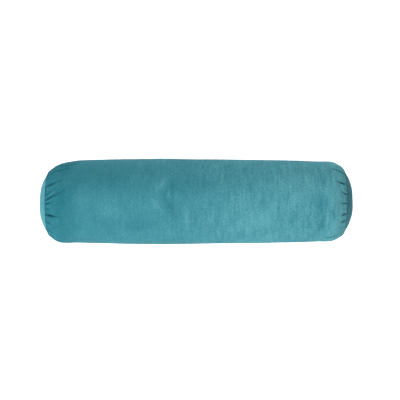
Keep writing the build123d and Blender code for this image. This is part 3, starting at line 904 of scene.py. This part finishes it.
def case_outline(extra):
    """Half outline of the case, further in than the cover by extra, to its flat end ring."""
    places = np.linspace(0, HALF_LENGTH, 90)
    points, angles = resample(outline, outline_angles, places)
    inset = VELVET + 0.0014 + extra + SLACK * smoothstep(0.235, 0.345, points[:, 0])
    points = points - inset[:, None] * circle(angles)
    keep = points[:, 0] < CASE_X - CASE_CORNER - extra
    points, angles = points[keep], angles[keep]
    x, r = points[-1]
    drop = r - CASE_CORNER_R
    turn = np.linspace(0, math.pi / 2, 12)[1:]
    corner = np.stack([x + (CASE_X - extra - x) * np.sin(turn), r - drop * (1 - np.cos(turn))], 1)
    return np.concatenate([points, corner]), np.concatenate([angles, math.pi / 2 - turn])


def revolve(name, points, angles, columns, bumps, levels):
    """A mesh round the bolster's axis from an outline, its normals' angles and its lumps."""
    turn = round_steps(columns)[None, :]
    x, r = points[:, :1], points[:, 1:] - slimmer(points[:, :1])
    place, direction = around_axis(x, r, turn)
    normal = tilted(np.cos(angles), np.sin(angles), direction)
    length, around = run_length(points)[:, None], turn * RADIUS
    place = flatten(place + normal * bumps(length, around)[..., None], *levels)
    faces = grid_faces(len(points), columns, wrap=True)[:, ::-1]
    return make_mesh(name, place, faces, on_cloth(length, around))


def mirrored(points, angles):
    """A whole outline from its right half."""
    left = points[1:][::-1] * np.array([-1.0, 1.0])
    return np.concatenate([left, points]), np.concatenate([math.pi - angles[1:][::-1], angles])


def build_case_tube():
    points, angles = mirrored(*case_outline(0.0))

    def lumps(length, around):
        return -0.0005 * (1 + 0.6 * noise_waves(length, around, 24, 0.04, 0.12, 21))

    piece = revolve("case_tube", points, angles, 220, lumps, (CASE_LEVEL, CASE_FLOOR))
    thicken(piece, TICKING)
    finish_piece(piece, "ticking", "case_body")


def case_dome(inset):
    """Outline of the case's domed end from its middle to the seam, and its normals' angles."""
    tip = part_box("case_end_right")[1].x - 0.0015 - SLUMP - inset
    rim = np.array([CASE_X - 2 * TICKING - inset, CASE_HOLE_R - 0.0004 - inset])
    sag = tip - rim[0]
    radius = (sag * sag + rim[1] * rim[1]) / (2 * sag)
    angle = np.linspace(0, math.asin(rim[1] / radius), 40)
    return np.array([tip - radius, 0]) + radius * circle(angle), angle


def build_case_end(side, word):
    """Domed end of the case, with the lap that is sewn under the tube."""
    dome, angle = case_dome(0.0)
    lap = dome[-1] + np.linspace(0, 1, 6)[1:, None] * np.array([0.0, 0.0038])
    points = np.concatenate([dome, lap])
    angles = np.concatenate([angle, np.zeros(5)])

    def lumps(length, around):
        turn = around / RADIUS
        waves = noise_waves(length * np.cos(turn), length * np.sin(turn), 16, 0.03, 0.08, 23)
        return 0.0003 * waves * smoothstep(0.075, 0.055, length)

    if side < 0:
        points, angles = points * np.array([-1.0, 1.0]), math.pi - angles
    piece = revolve(f"case_end_panel_{word}", points, angles, 160, lumps, (1.0, -1.0))
    if side > 0:
        piece.data.flip_normals()
    close_poles(piece)
    thicken(piece, TICKING)
    finish_piece(piece, "ticking", f"case_end_{word}")


def build_case_seam(side, word):
    """Zigzag stitches round the case's lapped seam."""
    turn = round_steps(SEAM_STITCHES * 8)
    swing = 0.0009 * zigzag(turn / (2 * math.pi) * SEAM_STITCHES)
    path, _ = around_axis(side * (CASE_X + 0.0001), CASE_HOLE_R + 0.0027 + swing, turn)
    piece = strands(f"case_seam_thread_{word}", [(path, ALONG_X)], THREAD_R, closed=True)
    finish_piece(piece, "case_thread", f"case_end_stitches_{word}")


def build_case_closing():
    """Overcast stitches that close the case after stuffing."""
    left, right = along("case_closing_stitches", ALONG_X)
    place = np.linspace(0, 120, 120 * 8 + 1)
    path = zip_point(left + (right - left) * place / 120, 0.0025 * zigzag(place), CASE_LEVEL - 0.0001)
    piece = strands("case_closing_thread", [(path, ZIP_OUT)], THREAD_R)
    finish_piece(piece, "case_thread", "case_closing_stitches")


def build_fill():
    """The fibre filling: one soft lumpy mass that fills the case."""
    depth = TICKING + 0.0016
    tube, tube_angle = case_outline(depth)
    dome, dome_angle = case_dome(0.0010)
    tube = tube[tube[:, 0] < dome[-1, 0] - 0.004]
    tube_angle = tube_angle[: len(tube)]
    points = np.concatenate([tube, dome[::-1]])
    angles = np.concatenate([tube_angle, dome_angle[::-1]])

    def lumps(length, around):
        from_pole = np.minimum(length, length.max() - length)
        share = 0.5 * smoothstep(0.0005, 0.012, from_pole)
        broad = share * noise_waves(length, around, 24, 0.03, 0.09, 31)
        tufts = share * noise_waves(length, around, 40, 0.006, 0.02, 33)
        return -0.0005 * (1 + broad) - 0.0003 * (1 + tufts)

    levels = (CASE_LEVEL - 0.0012, CASE_FLOOR + 0.0012)
    piece = revolve("filling", *mirrored(points, angles), 260, lumps, levels)
    close_poles(piece)
    finish_piece(piece, "fibre", "fibre_fill")


# ---- Materials ----


def srgb(red, green, blue):
    """Linear colour from 0 to 255 display values."""
    return [(c / 255) ** 2.2 for c in (red, green, blue)] + [1.0]


class Nodes:
    """The nodes of a material or of the world, with short ways to add and join them."""

    def __init__(self, owner, shader="Principled BSDF"):
        owner.use_nodes = True
        self.owner = owner
        self.tree = owner.node_tree
        self.shader = self.tree.nodes[shader]

    def put(self, target, value):
        """Links a socket to an input, or gives the input a plain value."""
        if isinstance(value, bpy.types.NodeSocket):
            self.tree.links.new(value, target)
        else:
            target.default_value = value

    def node(self, kind, settings=None, **inputs):
        """Adds a node. An input is named with underscores for spaces, or as _ and its number."""
        made = self.tree.nodes.new(kind)
        for key, value in (settings or {}).items():
            setattr(made, key, value)
        for key, value in inputs.items():
            self.put(made.inputs[int(key[1:]) if key[0] == "_" else key.replace("_", " ")], value)
        return made

    def cloth(self, scale=(1.0, 1.0, 1.0)):
        """Place on the flat cloth, scaled."""
        where = self.node("ShaderNodeAttribute", {"attribute_name": "cloth"})
        return self.node("ShaderNodeMapping", Vector=where.outputs["Vector"], Scale=scale).outputs[0]

    def along_and_around(self):
        """The two places on the flat cloth as single values."""
        split = self.node("ShaderNodeSeparateXYZ", Vector=self.cloth())
        return split.outputs["X"], split.outputs["Y"]

    def attribute(self, name):
        return self.node("ShaderNodeAttribute", {"attribute_name": name}).outputs["Fac"]

    def noise(self, vector, scale, detail=3.0, rough=0.5):
        made = self.node("ShaderNodeTexNoise", Vector=vector, Scale=scale, Detail=detail, Roughness=rough)
        return made.outputs["Fac"]

    def math(self, operation, *values):
        inputs = {f"_{number}": value for number, value in enumerate(values)}
        return self.node("ShaderNodeMath", {"operation": operation}, **inputs).outputs[0]

    def total(self, first, *parts):
        """Sum of (value, share) parts."""
        whole = self.math("MULTIPLY", *first)
        for value, share in parts:
            whole = self.math("MULTIPLY_ADD", value, share, whole)
        return whole

    def ramp(self, value, *stops):
        """Colour ramp through (place, display colour) stops."""
        made = self.node("ShaderNodeValToRGB", Fac=value)
        elements = made.color_ramp.elements
        while len(elements) < len(stops):
            elements.new(0.5)
        for element, (place, color) in zip(elements, stops):
            element.position = place
            element.color = srgb(*color)
        return made.outputs["Color"]

    def bump(self, height, strength, distance):
        made = self.node("ShaderNodeBump", Height=height, Strength=strength, Distance=distance)
        return made.outputs[0]

    def set(self, **inputs):
        """Sets the shader's inputs, and gives the material or world back."""
        for key, value in inputs.items():
            self.put(self.shader.inputs[key.replace("_", " ")], value)
        return self.owner


def material_nodes(name):
    return Nodes(bpy.data.materials.new(name))


def velvet_material():
    """Cut pile: soft blotches and streaks where the nap lies one way or the other, painted shade along the
    bolster and in the creases, and a pale sheen.
    """
    m = material_nodes("teal_velvet")
    where = m.cloth()
    x, _ = m.along_and_around()
    broad = m.noise(where, 9.0, 2.0)
    streaks = m.noise(m.cloth((1.0, 0.16, 1.0)), 130.0, 3.0, 0.7)
    blotches = m.noise(m.cloth((1.0, 0.7, 1.0)), 30.0, 4.0, 0.6)
    fine = m.noise(m.cloth((1.0, 0.3, 1.0)), 520.0, 2.0, 0.6)
    ribs = m.noise(m.cloth((0.3, 1.0, 1.0)), 520.0, 2.0, 0.6)
    fibre = m.noise(where, 1900.0, 2.0, 0.7)
    grain = m.noise(where, 620.0, 2.0, 0.6)
    streaks = m.math("SUBTRACT", streaks, 0.5)
    streaks = m.math("MULTIPLY", streaks, m.math("MULTIPLY_ADD", x, 0.7, 0.42))
    shares = ((broad, 0.24), (blotches, 0.26), (fine, 0.50), (ribs, 0.42), (grain, 0.3), (fibre, 0.3))
    level = 0.5 - 0.5 * sum(share for _, share in shares)  # each noise swings round 0.5
    # the nap attribute carries painted shade as well as the nap's own tone
    nap = m.total((m.attribute("nap"), 1.0), (streaks, 1.0), (level, 1.0), *shares)
    color = m.ramp(
        nap,
        (0.0, (20, 84, 95)),
        (0.5, (59, 117, 127)),
        (1.0, (95, 156, 163)),
    )
    # painted shade: creases and end seams darken towards deep teal, and lose some of their sheen
    crease = m.attribute("crease")
    mixed = m.node("ShaderNodeMix", {"data_type": "RGBA"}, _0=crease, _6=color, _7=srgb(4, 76, 90))
    normal = m.bump(m.total((fibre, 1.0), (fine, 0.8)), 0.4, 0.0006)
    return m.set(
        Base_Color=mixed.outputs[2],
        Roughness=0.85,
        Sheen_Weight=m.math("MULTIPLY_ADD", crease, -0.2, 0.2),
        Sheen_Roughness=0.36,
        Sheen_Tint=srgb(160, 206, 213),
        Specular_IOR_Level=0.04,
        Normal=normal,
    )


def thread_material(name, color, pale):
    """Spun thread: two plies twisted round each other, a little fuzzy."""
    m = material_nodes(name)
    x, around = m.along_and_around()
    plies = m.math("SINE", m.total((x, 5200.0), (around, 9000.0)))
    fuzz = m.noise(m.cloth(), 5200.0, 2.0, 0.7)
    tone = m.ramp(m.math("MULTIPLY_ADD", plies, 0.3, fuzz), (0.25, color), (0.85, pale))
    normal = m.bump(m.math("ADD", plies, fuzz), 0.5, 0.00006)
    return m.set(Base_Color=tone, Roughness=0.7, Sheen_Weight=0.3, Specular_IOR_Level=0.3, Normal=normal)


def tape_material():
    """Woven zip tape: slanting twill ribs with slightly uneven dye."""
    m = material_nodes("zip_tape_twill")
    x, around = m.along_and_around()
    slant = m.math("MULTIPLY_ADD", around, 1.3, x)
    ribs = m.math("SINE", m.math("MULTIPLY", slant, 5600.0))
    dye = m.noise(m.cloth(), 90.0, 3.0)
    share = m.math("MULTIPLY_ADD", ribs, 0.18, dye)
    tone = m.ramp(share, (0.25, (18, 66, 76)), (0.8, (38, 100, 112)))
    return m.set(Base_Color=tone, Roughness=0.8, Specular_IOR_Level=0.25, Normal=m.bump(ribs, 0.6, 0.00008))


def nylon_material():
    """Dyed nylon coil: satin, slightly paler where the slider has rubbed it."""
    m = material_nodes("zip_coil_nylon")
    rub = m.noise(m.cloth(), 140.0, 3.0, 0.6)
    tone = m.ramp(rub, (0.3, (20, 72, 82)), (0.75, (50, 116, 128)))
    rough = m.math("MULTIPLY_ADD", rub, 0.3, 0.22)
    return m.set(Base_Color=tone, Roughness=rough, Coat_Weight=0.15, Normal=m.bump(rub, 0.1, 0.00005))


def nickel_material():
    """Nickel plate: fine scratches and duller patches where it is handled."""
    m = material_nodes("zip_nickel")
    where = m.node("ShaderNodeTexCoord").outputs["Object"]
    long_way = m.node("ShaderNodeMapping", Vector=where, Scale=(0.15, 1.0, 1.0)).outputs[0]
    scratches = m.noise(long_way, 6000.0, 3.0, 0.7)
    handled = m.noise(where, 260.0, 3.0, 0.6)
    tone = m.ramp(handled, (0.3, (190, 188, 182)), (0.75, (216, 214, 209)))
    rough = m.total((scratches, 0.16), (handled, 0.2))
    normal = m.bump(scratches, 0.06, 0.00002)
    return m.set(Base_Color=tone, Metallic=1.0, Roughness=rough, Normal=normal)


def weave_material(name, dark, pale, pitch, sheen):
    """Plain weave: yarns over and under each other, with thick and thin places."""
    m = material_nodes(name)
    turns = 2 * math.pi / pitch
    warp, weft = (m.math("SINE", m.math("MULTIPLY", way, turns)) for way in m.along_and_around())
    weave = m.math("MULTIPLY", warp, weft)
    slub = m.noise(m.cloth((1.0, 0.08, 1.0)), 420.0, 2.0, 0.6)
    share = m.math("MULTIPLY_ADD", weave, 0.15, slub)
    tone = m.ramp(share, (0.3, dark), (0.75, pale))
    height = m.math("ADD", weave, slub)
    return m.set(Base_Color=tone, Roughness=0.8, Sheen_Weight=sheen, Normal=m.bump(height, 0.5, pitch / 8))


def fibre_material():
    """Loose white fibre: tufts with soft shadows between them."""
    m = material_nodes("polyester_fibre")
    tufts = m.noise(m.cloth(), 120.0, 5.0, 0.7)
    hairs = m.noise(m.cloth((1.0, 0.2, 1.0)), 2600.0, 2.0, 0.7)
    share = m.total((tufts, 0.7), (hairs, 0.3))
    tone = m.ramp(share, (0.25, (205, 205, 200)), (0.7, (248, 248, 245)))
    return m.set(Base_Color=tone, Roughness=0.95, Sheen_Weight=0.5, Normal=m.bump(share, 0.8, 0.002))


# ---- Stage ----

FLOOR_HALF = 6.0
# Softboxes: place, size and power
LIGHTS = {
    "key": ((-2.2, -1.3, 1.2), 1.3, 50),
    "overhead": ((0.1, -2.0, 2.3), 2.0, 74),
    "back": ((-0.6, 2.4, 1.7), 1.6, 60),
}
EYE = (0.0096, 0.0038, AXIS_Z + 2.9)
LENS = 102.0


def build_floor():
    """A pale floor that the camera sees as nearly white."""
    m = material_nodes("pale_floor")
    where = m.node("ShaderNodeTexCoord").outputs["Object"]
    tone = m.ramp(m.noise(where, 3.0), (0.3, (205, 207, 208)), (0.7, (216, 217, 218)))
    seen = m.node("ShaderNodeLightPath").outputs["Is Camera Ray"]
    glow = m.math("MULTIPLY", seen, 0.85)
    m.set(Base_Color=tone, Roughness=0.9, Emission_Color=(1, 1, 1, 1), Emission_Strength=glow)
    corners = [(x * FLOOR_HALF, y * FLOOR_HALF, 0) for x, y in ((-1, -1), (1, -1), (1, 1), (-1, 1))]
    mesh = bpy.data.meshes.new("floor")
    mesh.from_pydata(corners, [], [(0, 1, 2, 3)])
    mesh.materials.append(m.owner)
    place_object("floor", mesh, (0, 0, -0.0004))


def build_world():
    """Soft light from all round, dimmer to the right. The camera sees it as nearly white."""
    world = bpy.data.worlds.new("studio")
    w = Nodes(world, "Background")
    direction = w.node("ShaderNodeTexCoord").outputs["Generated"]
    across = w.node("ShaderNodeSeparateXYZ", Vector=direction).outputs["X"]
    dim = w.math("MULTIPLY_ADD", across, -0.3, 0.5)
    seen = w.node("ShaderNodeLightPath").outputs["Is Camera Ray"]
    w.set(Color=(0.95, 0.97, 1.0, 1), Strength=w.math("MAXIMUM", dim, seen))
    bpy.context.scene.world = world


def build_lights():
    """Softboxes turned to the bolster, the brightest from the front."""
    for name, (place, size, power) in LIGHTS.items():
        light = bpy.data.lights.new(name, "AREA")
        light.shape = "SQUARE"
        light.size = size
        light.energy = power
        lamp = place_object(name, light, place)
        lamp.rotation_mode = "QUATERNION"
        lamp.rotation_quaternion = (Vector((0, 0, AXIS_Z)) - Vector(place)).to_track_quat("-Z", "Y")


def build_camera():
    """A camera straight above the bolster."""
    camera = bpy.data.cameras.new("camera")
    camera.lens = LENS
    camera.sensor_width = 36.0
    bpy.context.scene.camera = place_object("camera", camera, EYE)
    bpy.context.scene.view_settings.view_transform = "Standard"


# ---- Assembly ----

looks = {
    "velvet": velvet_material(),
    "cover_thread": thread_material("cover_thread", (22, 78, 90), (54, 122, 134)),
    "case_thread": thread_material("case_thread", (196, 190, 176), (238, 234, 222)),
    "zip_tape": tape_material(),
    "zip_coil": nylon_material(),
    "nickel": nickel_material(),
    "label": weave_material("label_ribbon", (222, 222, 216), (246, 246, 242), 0.0003, 0.1),
    "ticking": weave_material("cotton_ticking", (206, 198, 180), (236, 230, 214), 0.0007, 0.2),
    "fibre": fibre_material(),
}

build_tube()
for side, word in ((-1, "left"), (1, "right")):
    build_panel(side, word)
    build_end_threads(side, word)
    build_long_seam_thread(side, word)
    build_case_end(side, word)
    build_case_seam(side, word)
for word, sign in (("upper", 1), ("lower", -1)):
    build_tape(word, sign)
    build_coil(word, sign)
    build_topstitching(word, sign)
build_bar_tacks()
build_label()
build_case_tube()
build_case_closing()
build_fill()
plate_metal()
build_floor()
build_world()
build_lights()
build_camera()
